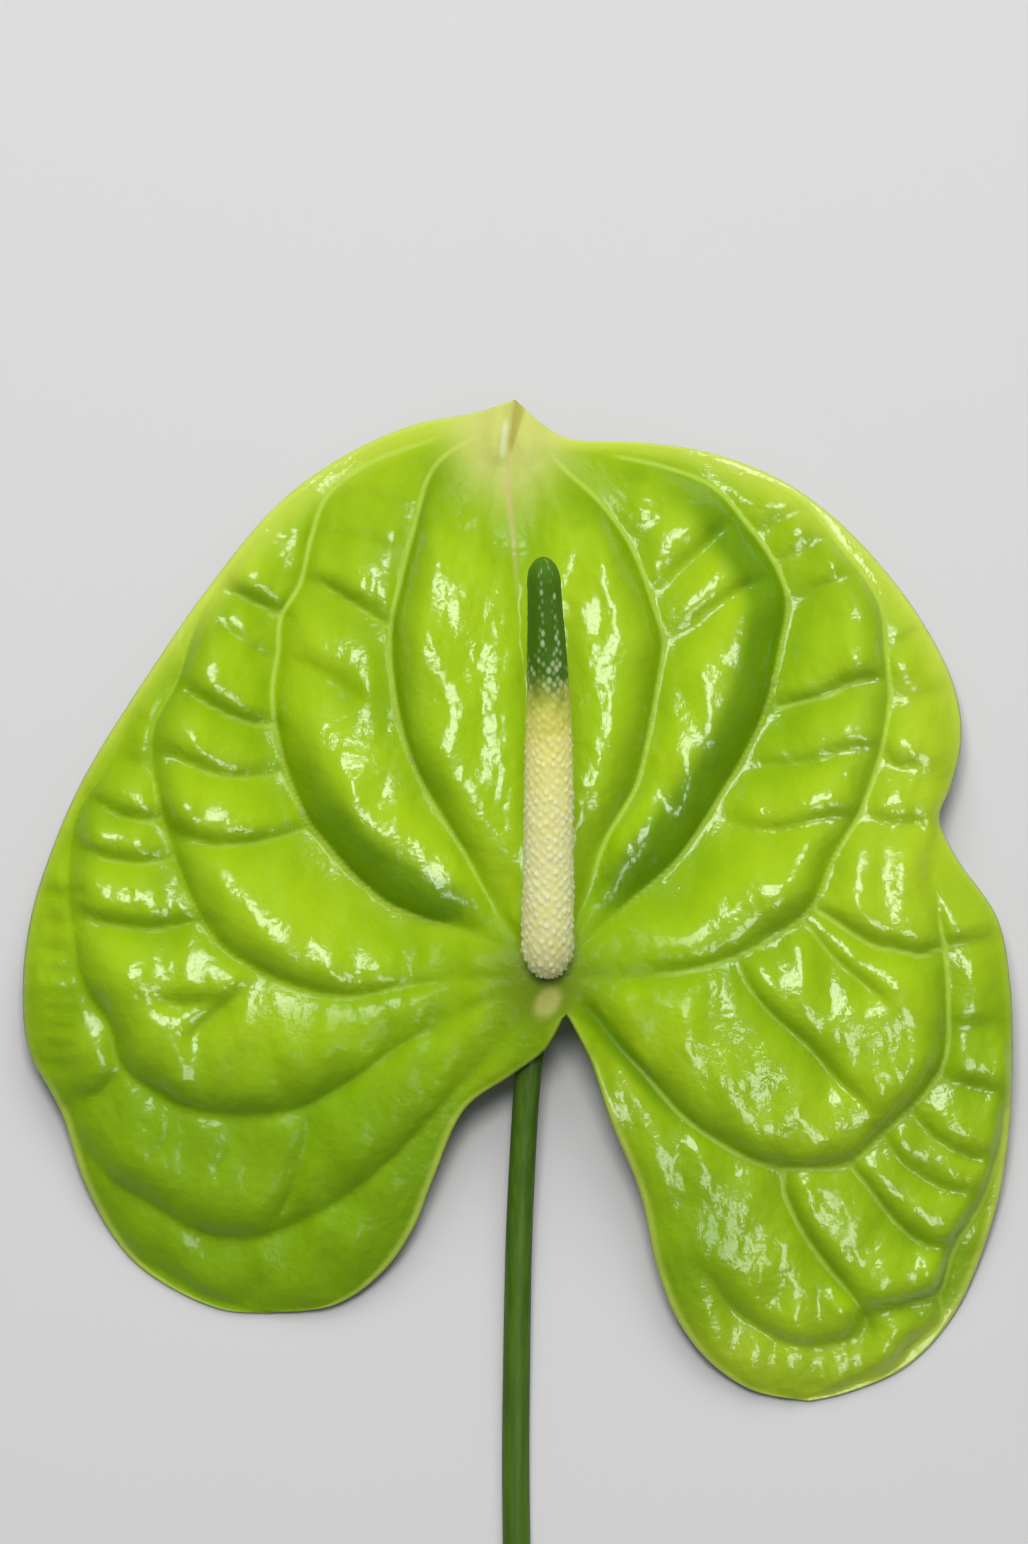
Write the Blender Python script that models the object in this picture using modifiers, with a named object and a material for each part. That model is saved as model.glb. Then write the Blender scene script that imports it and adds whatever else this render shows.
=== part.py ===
"""A cut anthurium stem, laid down face up on a flat surface.

Three grown pieces: the heart-shaped green spathe, the spadix that stands out of its face, and the
peduncle (the flower stalk) that carries both and ends in a slanted cut. The spathe's attachment is
the empty that everything hangs on: X to the right, Y towards the spathe's tip, Z up.
"""

import math

import bmesh
import bpy
import numpy as np
from mathutils import Vector

# Driving dimensions, in metres, with the attachment at X 0, Y 0 and the surface at Z 0.
ATTACHMENT_HEIGHT = 0.0176  # middle of the spathe's sheet above the surface, where it is attached
SPATHE_THICKNESS = 0.0009
TIP_FALL = 0.0095  # how far the sheet comes down from the attachment to the tip
LOBE_FALL = 0.0142  # and from the attachment to the end of each lobe
SIDE_FALL = 0.0062  # and from the middle to each side
MARGIN_ROLL = 0.0011  # how far the outer edge curls back
VALLEY_DEPTH = 0.0032  # the sunken vein on each side of the middle
VALLEY_WIDTH = 0.0085
SPADIX_RADIUS = 0.0041
STALK_RADIUS_TOP = 0.00195
STALK_RADIUS_CUT = 0.0026
STALK_REACH = 0.340  # from the attachment to the longer side of the cut
CUT_ANGLE = math.radians(42)

# The spathe's outline and middle line, seen from above.
TIP = (-0.0046, 0.0882)
SINUS_TOP = (0.0030, -0.0042)
MIDRIB = (TIP, (-0.0040, 0.0730), (-0.0015, 0.0300), (0.0010, 0.0020), SINUS_TOP)
LEFT_LOBE_END = (-0.0420, -0.0501)
RIGHT_LOBE_END = (0.0400, -0.0635)
LEFT_INNER = (SINUS_TOP, (-0.0010, -0.0109), (-0.0120, -0.0185), (-0.0170, -0.0295),
              (-0.0250, -0.0440), LEFT_LOBE_END)
RIGHT_INNER = (SINUS_TOP, (0.0082, -0.0170), (0.0150, -0.0350), (0.0200, -0.0510),
               (0.0280, -0.0600), RIGHT_LOBE_END)
LEFT_OUTER = (TIP, (-0.0150, 0.0854), (-0.0300, 0.0801), (-0.0450, 0.0679), (-0.0600, 0.0466),
              (-0.0700, 0.0304), (-0.0776, 0.0100), (-0.0780, -0.0100), (-0.0735, -0.0190),
              (-0.0699, -0.0300), (-0.0590, -0.0450), LEFT_LOBE_END)
RIGHT_OUTER = (TIP, (0.0020, 0.0824), (0.0150, 0.0817), (0.0300, 0.0789), (0.0450, 0.0690),
               (0.0580, 0.0530), (0.0626, 0.0380), (0.0592, 0.0260), (0.0657, 0.0145),
               (0.0703, -0.0120), (0.0679, -0.0350), (0.0582, -0.0550), RIGHT_LOBE_END)
LEFT_VALLEY = ((-0.0120, 0.0080), (-0.0290, 0.0165), (-0.0400, 0.0350), (-0.0405, 0.0550),
               (-0.0330, 0.0730))
RIGHT_VALLEY = ((0.0100, 0.0100), (0.0227, 0.0227), (0.0332, 0.0417), (0.0364, 0.0570),
                (0.0270, 0.0730))
MIDRIB_ROWS = 24
LOBE_ROWS = 14
COLUMNS = 13
FOOT_CROWDING = 1.4  # how much closer together the points lie near the foot of the spadix
BEND_CROWDING = 1.8  # and near the bent top of the stalk

# Middle lines of the spadix and the stalk, from above (X, Y) and their height (Z).
SPADIX_LINE = ((0.0002, 0.0037, 0.0176), (0.0002, 0.0041, 0.0206), (0.0002, 0.0075, 0.0246),
               (0.0003, 0.0200, 0.0309), (0.0003, 0.0400, 0.0395), (-0.0001, 0.0520, 0.0446),
               (-0.0006, 0.0632, 0.0492))
STALK_LINE = ((0.0002, 0.0002, 0.0159), (0.0001, -0.0002, 0.0146), (-0.0006, -0.0028, 0.0128),
              (-0.0022, -0.0095, 0.0116), (-0.0038, -0.0320, 0.0066), (-0.0044, -0.0560, 0.0031),
              (-0.0045, -0.0800, 0.0021), (-0.0032, -0.1250, 0.0022), (0.0000, -0.1900, 0.0023),
              (0.0034, -0.2700, 0.0025), (0.0052, -0.3460, 0.0026))

# The origin is at the bottom centre of the whole object's box.
ATTACHMENT = Vector((0.00419, 0.12815, 0.0))


def smooth_line(points, count, crowding=1.0):
    """Count points on a smooth curve through the given ones (Catmull-Rom pieces).

    They are evenly spaced at a crowding of 1, and closer together near the start above it.
    """
    given = np.array(points, dtype=float)
    padded = np.vstack([2 * given[0] - given[1], given, 2 * given[-1] - given[-2]])
    step = np.sqrt(np.linalg.norm(np.diff(padded, axis=0), axis=1))
    knots = np.concatenate([[0.0], np.cumsum(step)])
    pieces = []
    for i in range(1, len(padded) - 2):
        p0, p1, p2, p3 = padded[i - 1:i + 3]
        t0, t1, t2, t3 = knots[i - 1:i + 3]
        t = np.linspace(t1, t2, 40, endpoint=False)[:, None]
        a1 = (t1 - t) / (t1 - t0) * p0 + (t - t0) / (t1 - t0) * p1
        a2 = (t2 - t) / (t2 - t1) * p1 + (t - t1) / (t2 - t1) * p2
        a3 = (t3 - t) / (t3 - t2) * p2 + (t - t2) / (t3 - t2) * p3
        b1 = (t2 - t) / (t2 - t0) * a1 + (t - t0) / (t2 - t0) * a2
        b2 = (t3 - t) / (t3 - t1) * a2 + (t - t1) / (t3 - t1) * a3
        pieces.append((t2 - t) / (t2 - t1) * b1 + (t - t1) / (t2 - t1) * b2)
    dense = np.vstack(pieces + [given[-1:]])
    along = np.concatenate([[0.0], np.cumsum(np.linalg.norm(np.diff(dense, axis=0), axis=1))])
    wanted = along[-1] * np.linspace(0.0, 1.0, count) ** crowding
    return np.stack([np.interp(wanted, along, axis) for axis in dense.T], axis=1)


def smooth_step(low, high, value):
    """0 below low, 1 above high, and an S-shaped rise between them."""
    t = np.clip((value - low) / (high - low), 0.0, 1.0)
    return t * t * (3.0 - 2.0 * t)


def sheet_height(x, y, across):
    """Height of the spathe's middle surface over X, Y; across is 0 at the midrib and 1 at the rim."""
    reach_up = TIP[1]
    reach_down = np.where(x < 0.0, -LEFT_LOBE_END[1], -RIGHT_LOBE_END[1])
    fall = TIP_FALL * np.clip(y / reach_up, 0.0, 1.0) ** 1.7
    fall += LOBE_FALL * np.clip(-y / reach_down, 0.0, 1.0) ** 1.3
    fall += SIDE_FALL * (x / -LEFT_OUTER[6][0]) ** 2
    fall += MARGIN_ROLL * smooth_step(0.82, 1.0, across)
    place = np.stack([x, y], axis=-1)
    for valley in (LEFT_VALLEY, RIGHT_VALLEY):
        line = smooth_line(valley, 60)
        distance = np.linalg.norm(place[..., None, :] - line, axis=-1).min(axis=-1)
        fall += VALLEY_DEPTH * np.exp(-((distance / VALLEY_WIDTH) ** 2))
    return ATTACHMENT_HEIGHT - fall


def half_sheet(inner, outer):
    """Grid of points of one half: rows run from the middle line to the outer edge."""
    middle = np.vstack([smooth_line(MIDRIB, MIDRIB_ROWS + 1),
                        smooth_line(inner, LOBE_ROWS + 1)[1:]])
    edge = smooth_line(outer, len(middle))
    across = np.linspace(0.0, 1.0, COLUMNS)[None, :, None]
    flat = middle[:, None, :] * (1.0 - across) + edge[:, None, :] * across
    # The rim takes no part in the roll next to the two ends of the rows, where the half narrows.
    width = np.linalg.norm(edge - middle, axis=1)[:, None]
    rolled = across[..., 0] * smooth_step(0.0, 0.012, width)
    height = sheet_height(flat[..., 0], flat[..., 1], rolled)
    return np.concatenate([flat, height[..., None]], axis=-1)


def material(name, colour, roughness):
    """A Principled material in one plain colour (linear red, green, blue)."""
    made = bpy.data.materials.new(name)
    made.use_nodes = True
    shader = made.node_tree.nodes["Principled BSDF"]
    shader.inputs["Base Color"].default_value = (*colour, 1.0)
    shader.inputs["Roughness"].default_value = roughness
    shader.inputs["Metallic"].default_value = 0.0
    return made


def finish(made, collection, parent, finish_material):
    """Puts a piece in its collection, on the attachment, in its own material and shaded smooth."""
    for old in list(made.users_collection):
        old.objects.unlink(made)
    collection.objects.link(made)
    made.parent = parent
    made.data.materials.clear()
    made.data.materials.append(finish_material)
    if made.type == "MESH":
        made.data.shade_smooth()


def spathe(collection, parent):
    """The bract: two grids warped to its halves, joined at the midrib and thickened to a sheet."""
    sheet = bmesh.new()
    for inner, outer, turned in ((LEFT_INNER, LEFT_OUTER, False), (RIGHT_INNER, RIGHT_OUTER, True)):
        points = half_sheet(inner, outer)
        rows, columns = points.shape[:2]
        grid = bmesh.ops.create_grid(sheet, x_segments=columns - 1, y_segments=rows - 1, size=0.5)
        for vertex in grid["verts"]:
            column = round((vertex.co.x + 0.5) * (columns - 1))
            row = round((vertex.co.y + 0.5) * (rows - 1))
            vertex.co = Vector(points[row, column])
        if turned:
            faces = {face for vertex in grid["verts"] for face in vertex.link_faces}
            bmesh.ops.reverse_faces(sheet, faces=list(faces))
    bmesh.ops.remove_doubles(sheet, verts=sheet.verts, dist=0.00002)
    mesh = bpy.data.meshes.new("spathe")
    bmesh.ops.recalc_face_normals(sheet, faces=sheet.faces)
    if sum(face.normal.z for face in sheet.faces) < 0:
        bmesh.ops.reverse_faces(sheet, faces=list(sheet.faces))
    sheet.to_mesh(mesh)
    sheet.free()
    made = bpy.data.objects.new("spathe", mesh)
    thicken = made.modifiers.new("thickness", "SOLIDIFY")
    thicken.thickness = SPATHE_THICKNESS
    thicken.offset = 0.0
    finish(made, collection, parent, material("waxy_green_bract", (0.33, 0.50, 0.03), 0.28))
    return made


def rod(name, line, radii, bevel_resolution):
    """A round rod along a line, with its own radius at each point."""
    data = bpy.data.curves.new(name, "CURVE")
    data.dimensions = "3D"
    data.use_fill_caps = True
    data.bevel_depth = 1.0
    data.bevel_resolution = bevel_resolution
    data.twist_mode = "MINIMUM"
    spline = data.splines.new("POLY")
    spline.points.add(len(line) - 1)
    for point, place, radius in zip(spline.points, line, radii):
        point.co = (*place, 1.0)
        point.radius = radius
    return bpy.data.objects.new(name, data)


def spadix(collection, parent):
    """The fleshy spike: it rises from the face on a narrow foot and leans towards the tip."""
    line = smooth_line(SPADIX_LINE, 30, FOOT_CROWDING)
    t = np.linspace(0.0, 1.0, len(line)) ** FOOT_CROWDING
    foot = 0.70 + 0.30 * smooth_step(0.0, 0.10, t)
    taper = 1.0 - 0.26 * smooth_step(0.35, 0.92, t)
    top = np.sqrt(np.clip(1.0 - (np.clip(t - 0.945, 0.0, None) / 0.058) ** 2, 0.0, 1.0))
    made = rod("spadix", line, SPADIX_RADIUS * foot * taper * top, 4)
    finish(made, collection, parent, material("floret_spike", (0.80, 0.75, 0.38), 0.5))
    return made


def peduncle(collection, cutters, parent):
    """The flower stalk: level on the surface, bent up to the back of the spathe, cut at a slant."""
    line = smooth_line(STALK_LINE, 46, BEND_CROWDING)
    t = np.linspace(0.0, 1.0, len(line)) ** BEND_CROWDING
    radii = STALK_RADIUS_TOP + (STALK_RADIUS_CUT - STALK_RADIUS_TOP) * t
    line[:, 2] = np.maximum(line[:, 2], radii)
    curve = rod("peduncle_curve", line, radii, 3)
    bpy.context.scene.collection.objects.link(curve)
    graph = bpy.context.evaluated_depsgraph_get()
    mesh = bpy.data.meshes.new_from_object(curve.evaluated_get(graph))
    bpy.data.objects.remove(curve)
    solid = bmesh.new()
    solid.from_mesh(mesh)
    bmesh.ops.remove_doubles(solid, verts=solid.verts, dist=0.00002)
    lowest = min(vertex.co.z for vertex in solid.verts)
    bmesh.ops.translate(solid, verts=solid.verts, vec=(0.0, 0.0, -lowest))
    solid.to_mesh(mesh)
    solid.free()
    made = bpy.data.objects.new("peduncle", mesh)

    side = 0.020
    block = bmesh.new()
    bmesh.ops.create_cube(block, size=side)
    block_mesh = bpy.data.meshes.new("cut_block")
    block.to_mesh(block_mesh)
    block.free()
    cutter = bpy.data.objects.new("cut_block", block_mesh)
    cutter.hide_render = True
    cutter.display_type = "WIRE"
    cutter.parent = parent
    # The slanted face of the block passes through the stalk's underside at its full reach.
    cutter.rotation_euler = (CUT_ANGLE, 0.0, 0.0)
    into = Vector((0.0, -math.cos(CUT_ANGLE), -math.sin(CUT_ANGLE)))
    cutter.location = Vector((line[-1][0], -STALK_REACH, 0.0)) + into * side / 2
    cutters.objects.link(cutter)
    cut = made.modifiers.new("slanted_cut", "BOOLEAN")
    cut.operation = "DIFFERENCE"
    cut.solver = "EXACT"
    cut.object = cutter
    finish(made, collection, parent, material("green_stalk", (0.09, 0.21, 0.03), 0.45))
    return made


def main():
    for old in list(bpy.data.objects):
        bpy.data.objects.remove(old)
    parts = bpy.data.collections.new("cut_anthurium_stem")
    cutters = bpy.data.collections.new("cutters")
    for collection in (parts, cutters):
        bpy.context.scene.collection.children.link(collection)
    attachment = bpy.data.objects.new("attachment", None)
    attachment.empty_display_size = 0.01
    attachment.location = ATTACHMENT
    parts.objects.link(attachment)
    spathe(parts, attachment)
    spadix(parts, attachment)
    peduncle(parts, cutters, attachment)
    bpy.context.view_layer.update()


main()
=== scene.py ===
# %% [markdown]
# # A cut green anthurium
# What florists call the flower of an anthurium is three grown pieces. The spathe is a waxy,
# heart-shaped leaf that has turned into a display. The spadix is the spike in front of it, packed
# with tiny true flowers. The peduncle is the stalk that carries both, cut at a slant. Here the stem
# lies face up on a table, and each piece is a surface worked out with numpy around the fixed frame.

# %% Load the fixed frame
import math

import bpy
import numpy as np
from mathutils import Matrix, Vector


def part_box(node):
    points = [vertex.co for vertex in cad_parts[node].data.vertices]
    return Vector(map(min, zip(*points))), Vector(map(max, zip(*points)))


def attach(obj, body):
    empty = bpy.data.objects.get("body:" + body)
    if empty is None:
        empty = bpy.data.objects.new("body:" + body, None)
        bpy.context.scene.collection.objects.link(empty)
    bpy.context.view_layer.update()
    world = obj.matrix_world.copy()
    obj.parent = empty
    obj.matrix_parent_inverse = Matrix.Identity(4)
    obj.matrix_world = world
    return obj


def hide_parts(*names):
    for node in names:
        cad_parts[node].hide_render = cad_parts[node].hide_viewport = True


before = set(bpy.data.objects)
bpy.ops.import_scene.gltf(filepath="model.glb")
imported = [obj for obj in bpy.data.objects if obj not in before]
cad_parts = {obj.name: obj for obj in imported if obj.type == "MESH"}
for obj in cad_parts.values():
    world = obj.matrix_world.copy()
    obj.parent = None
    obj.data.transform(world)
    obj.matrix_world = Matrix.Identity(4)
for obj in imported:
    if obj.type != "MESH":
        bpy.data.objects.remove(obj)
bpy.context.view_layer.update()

# %% [markdown]
# ## Where things are
# Every place on the flower is measured from the point where spathe, spadix and stalk meet, in
# millimetres: X to the right, Y towards the spathe's tip, Z up from the table. The frame's spathe
# gives that point in the world, because its leftmost and topmost points are known.

# %% The attachment, and millimetres to world metres
MM = 0.001
LEFTMOST, TOPMOST = -78.83, 88.28  # of the spathe, from the attachment
spathe_low, spathe_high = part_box("spathe")
ATTACHMENT = np.array([spathe_low.x - LEFTMOST * MM, spathe_high.y - TOPMOST * MM, 0.0])
print("attachment:", ATTACHMENT.round(5))


def to_world(points):
    """Points in millimetres about the attachment, as points in metres in the frame."""
    return np.asarray(points, dtype=float) * MM + ATTACHMENT


def new_object(name, data):
    """A new object in the scene for a mesh, a lamp or a camera."""
    made = bpy.data.objects.new(name, data)
    bpy.context.scene.collection.objects.link(made)
    return made


# %% [markdown]
# ## The camera
# The flower was photographed straight on, so with the stem laid down the camera looks straight down
# at it, with the stalk leaving at the bottom edge. A long lens keeps the heart free of perspective.
# The picture is taller than wide, so the sensor's size counts along its height, and the lens is
# sensor times distance over the height it has to take in.

# %% Look straight down at the spathe
FRAME_HEIGHT = 231.6 * MM  # how much of the spathe's plane the picture's height takes in
VIEW_CENTRE = to_world([-4.8, 31.95, 14.0])
CAMERA_DISTANCE = 1.2
SENSOR = 36.0

camera_data = bpy.data.cameras.new("camera")
camera_data.sensor_width = SENSOR
camera_data.lens = SENSOR * CAMERA_DISTANCE / FRAME_HEIGHT
camera = new_object("camera", camera_data)
camera.location = (*VIEW_CENTRE[:2], VIEW_CENTRE[2] + CAMERA_DISTANCE)
bpy.context.scene.camera = camera
print(f"camera: {camera_data.lens:.0f} mm lens")

# %% [markdown]
# ## Smooth lines
# Rims and veins are never straight, so each is a curve through a few points. A Bezier curve would
# need handles as well. A Catmull-Rom curve takes its way from the neighbouring points, and its
# centripetal kind makes no loops where they lie close together.

# %% A smooth line through a few points
POINTS_A_SPAN = 30  # worked out between two given points, before they are spaced evenly


def walked(points, power=1.0):
    """The running sum, along a line of points, of the steps between them raised to a power."""
    return np.concatenate([[0.0], np.cumsum(np.linalg.norm(np.diff(points, axis=0), axis=1) ** power)])


def smooth_line(points, count=None, step=None, crowding=1.0):
    """Points evenly spaced along a centripetal Catmull-Rom curve through the given points.

    Neighbours are blended in pairs three times over, by knots the square root of their distance
    apart. Give a count, or a step in the points' unit. A crowding above 1 draws them to the start.
    """
    given = np.array(points, dtype=float)
    padded = np.vstack([2 * given[0] - given[1], given, 2 * given[-1] - given[-2]])
    knots = walked(padded, 0.5)

    def blend(t, i, j, first, second):
        gap = knots[j] - knots[i]
        return (knots[j] - t) / gap * first + (t - knots[i]) / gap * second

    spans = []
    for i in range(1, len(padded) - 2):
        t = np.linspace(knots[i], knots[i + 1], POINTS_A_SPAN, endpoint=False)[:, None]
        a, b, c = (blend(t, k, k + 1, padded[k], padded[k + 1]) for k in (i - 1, i, i + 1))
        spans.append(blend(t, i, i + 1, blend(t, i - 1, i + 1, a, b), blend(t, i, i + 2, b, c)))
    dense = np.vstack(spans + [given[-1:]])
    along = walked(dense)
    if count is None:
        count = max(3, round(along[-1] / step) + 1)
    wanted = along[-1] * np.linspace(0.0, 1.0, count) ** crowding
    return np.stack([np.interp(wanted, along, axis) for axis in dense.T], axis=1)


# %% [markdown]
# ## Soft steps
# Nothing on a flower stops at a sharp line. Ramps could be drawn by eye, but two short formulas do
# for every fade here: a soft rise from 0 to 1, and a bell that fades both ways.

# %% Steps and bells
def rise(low, high, value):
    """0 below low, 1 above high, and an S-shaped rise between them; high may be the lower one."""
    t = np.clip((value - low) / (high - low), 0.0, 1.0)
    return t * t * (3.0 - 2.0 * t)


def bell(distance, width):
    """e to the power of minus the square of distance over width: 1 at 0, near 0 at twice the width."""
    return np.exp(-((distance / width) ** 2))


def faded(along, first, last):
    """1 along most of a line, easing to 0 over the first and the last share of its length."""
    return rise(0.0, first, along) * rise(0.0, last, 1.0 - along)


# %% [markdown]
# ## Arrays into meshes
# A mesh can be filled point by point, or from whole arrays at once, which is far faster. Each piece
# here is a grid of points, so one function numbers a grid's triangles and another fills the mesh,
# along with the values that later steer its colours.

# %% Arrays to a mesh
def mesh_piece(name, points, triangles, attributes):
    """A mesh object from points in millimetres about the attachment and index triples.

    Points that coincide to a tenth of a micron are made one, and triangles that collapse are dropped.
    attributes maps a name to one value per point.
    """
    _, first, index = np.unique(np.round(points * 1e4).astype(np.int64), axis=0,
                                return_index=True, return_inverse=True)
    triangles = index.reshape(-1)[triangles]
    triangles = triangles[(triangles != np.roll(triangles, 1, axis=1)).all(axis=1)]
    mesh = bpy.data.meshes.new(name)
    mesh.vertices.add(len(first))
    mesh.vertices.foreach_set("co", to_world(points[first]).astype(np.float32).ravel())
    mesh.loops.add(3 * len(triangles))
    mesh.loops.foreach_set("vertex_index", triangles.astype(np.int32).ravel())
    mesh.polygons.add(len(triangles))
    mesh.polygons.foreach_set("loop_start", np.arange(0, 3 * len(triangles), 3, dtype=np.int32))
    mesh.polygons.foreach_set("use_smooth", np.ones(len(triangles), dtype=bool))
    mesh.update(calc_edges=True)
    for label, values in attributes.items():
        layer = mesh.attributes.new(label, "FLOAT", "POINT")
        layer.data.foreach_set("value", np.asarray(values, dtype=np.float32)[first])
    print(f"{name}: {len(first)} points, {len(triangles)} triangles")
    return new_object(name, mesh)


def grid_triangles(rows, columns, start=0, around=False, flip=False):
    """Index triples of a rows by columns grid of points numbered row by row, two for each square."""
    number = start + np.arange(rows * columns).reshape(rows, columns)
    if around:
        number = np.concatenate([number, number[:, :1]], axis=1)
    a, b = number[:-1, :-1].ravel(), number[:-1, 1:].ravel()
    c, d = number[1:, 1:].ravel(), number[1:, :-1].ravel()
    both = np.concatenate([np.stack([a, b, c], axis=1), np.stack([a, c, d], axis=1)])
    return both[:, ::-1] if flip else both


# %% [markdown]
# ## The spathe's outline
# A spathe has two halves that meet along the midrib, from the tip down to the top of the notch where
# the stalk passes. Each half is a grid whose rows run from the middle line out to the rim. Below the
# notch the middle line is the lobe's own inner rim. The outline is given with points only where the
# curve needs them.

# %% Outline of the two halves, in millimetres
TIP = (-4.6, 88.2)
NOTCH = (3, -4.2)
MIDRIB = (TIP, (-5.4, 80), (-5.7, 75), (-4.9, 67), (-4.2, 58), (-2, 30), (1, 2), NOTCH)
LEFT_END = (-42, -50.1)
RIGHT_END = (40, -63.5)
LEFT_INNER = (NOTCH, (0, -9.5), (-5, -13.4), (-12, -18.5), (-17, -29.5), (-20, -37),
              (-25, -44), (-32, -48.8), LEFT_END)
RIGHT_INNER = (NOTCH, (6.5, -11), (9.5, -20), (14, -31), (16.8, -43), (20, -51),
               (25, -57.5), (31.5, -61.8), RIGHT_END)
LEFT_OUTER = (TIP, (-10, 86.4), (-20, 84.4), (-30, 80.1), (-40, 72.9), (-50, 61),
              (-60, 46.6), (-70, 30.4), (-75, 18.7), (-77.6, 10), (-78.8, 0),
              (-78, -10), (-74.6, -16.6), (-73, -20), (-69.9, -30), (-64.5, -40),
              (-59, -45), (-49.4, -49.5), LEFT_END)
RIGHT_OUTER = (TIP, (-1.5, 85.3), (3, 82.4), (15, 81.7), (25, 80.2), (36, 75.8), (45, 69),
               (55, 57.3), (61.5, 45), (62.6, 37), (61, 30), (59.2, 25), (61.5, 19.5),
               (67.9, 10), (69.9, 0), (70.3, -15), (69.7, -25), (67.9, -35), (62.1, -50),
               (55, -58), (46.3, -62), RIGHT_END)
print("the rim runs through", len(LEFT_INNER + LEFT_OUTER + RIGHT_INNER + RIGHT_OUTER), "points")

# %% [markdown]
# ## The veins
# Primary veins leave the attachment and arch round towards the tip, and short secondary veins cross
# between them like rungs. Random cells would give a quilt too, but not with these long arches, so
# each vein is a smooth line through a few given points. A vein's strength is how hard it holds
# the sheet down. A primary vein also has a depth: how steeply the panel beside it drops to it.

# %% Primary veins, from the midrib outwards: depth of the drop, strength of the line, points
PRIMARY_LEFT = (
    (1.0, 1.0, ((-1.5, 3), (-3, 5), (-8.6, 13.2), (-13, 21), (-18, 29), (-21.3, 37), (-23, 45),
                (-23.4, 53), (-21.8, 61), (-19.8, 69), (-16.8, 78), (-10, 83), (-6.5, 85.5))),
    (1.35, 1.0, ((-1.5, 3), (-4.2, 4.7), (-12.3, 8.2), (-19.3, 10.2), (-24, 12.3), (-28.3, 15.8),
                 (-33, 21), (-36.2, 25.2), (-39.8, 34.6), (-41.2, 44), (-40.3, 50.2), (-40, 55),
                 (-37, 60.6), (-35.4, 67.4), (-33, 73.7), (-27.3, 78.3), (-19, 81.5), (-11, 84))),
    (0.65, 0.65, ((-2, 1.5), (-10, 1), (-21, -0.2), (-29.7, -1.8), (-37.9, -0.2), (-44.8, 3),
                  (-48.3, 5.3), (-51.7, 10), (-55.4, 18), (-58.5, 29), (-59.3, 33.5), (-59, 38.7),
                  (-55.4, 46), (-53.6, 52.3), (-49.7, 60), (-43, 67.6))),
    (0.5, 0.5, ((-2, 0), (-8, -2), (-20, -8), (-30, -15), (-37.9, -19), (-44.8, -19.8), (-52.4, -19.3),
                (-58.7, -16.5), (-64, -12.1), (-65.7, -6.3), (-69.4, -0.5), (-70.9, 6.4),
                (-71.7, 13.4), (-71, 24.6), (-66, 33), (-60, 45))),
    (0.45, 0.4, ((-2, -3), (-9, -11), (-16.4, -19), (-22.8, -26), (-29.7, -31.8), (-37.9, -36.5),
                 (-44.8, -38.7), (-52.9, -37.6), (-59.3, -33.6), (-65.1, -30.1), (-70.3, -23.7),
                 (-72, -21.4))),
)
PRIMARY_RIGHT = (
    (1.0, 1.0, ((2.5, 4), (5.8, 12.8), (9.4, 22.7), (13.4, 29.5), (15.3, 36.9), (16.8, 44.9),
                (17.6, 51.7), (16.3, 56.5), (13.1, 65.4), (8.4, 72.3), (2.5, 77.9), (-2, 83))),
    (1.4, 1.0, ((3, 3), (8.2, 8.7), (12, 12), (19.5, 18.5), (25.3, 26.9), (29.5, 33.7), (33.2, 41.7),
                (35.6, 51.7), (36.4, 58), (34.6, 63.3), (30.1, 69.7), (25.3, 75), (18, 78), (5, 80.5))),
    (0.6, 0.85, ((3.5, 1.5), (12, 1), (25, 3), (34, 7), (39.8, 11.7), (43.2, 19), (47.4, 26.4),
                 (50.3, 34.8), (51.7, 43.3), (51.1, 50.7), (50.4, 57), (47.7, 62), (44.5, 66),
                 (39, 72.9), (30, 77.6))),
    (0.4, 0.9, ((3.5, -0.5), (7.1, -4.2), (10.9, -9), (15.8, -14.5), (20, -19.3), (24.9, -23.1),
                (32, -26.9), (39, -27.9), (45.7, -26.9), (51.4, -22), (56.8, -16.6), (60, -11.2),
                (60.4, -4), (60, 4), (58, 15))),
)
print("strongest drops:", max(vein[0] for vein in PRIMARY_LEFT + PRIMARY_RIGHT))

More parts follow.
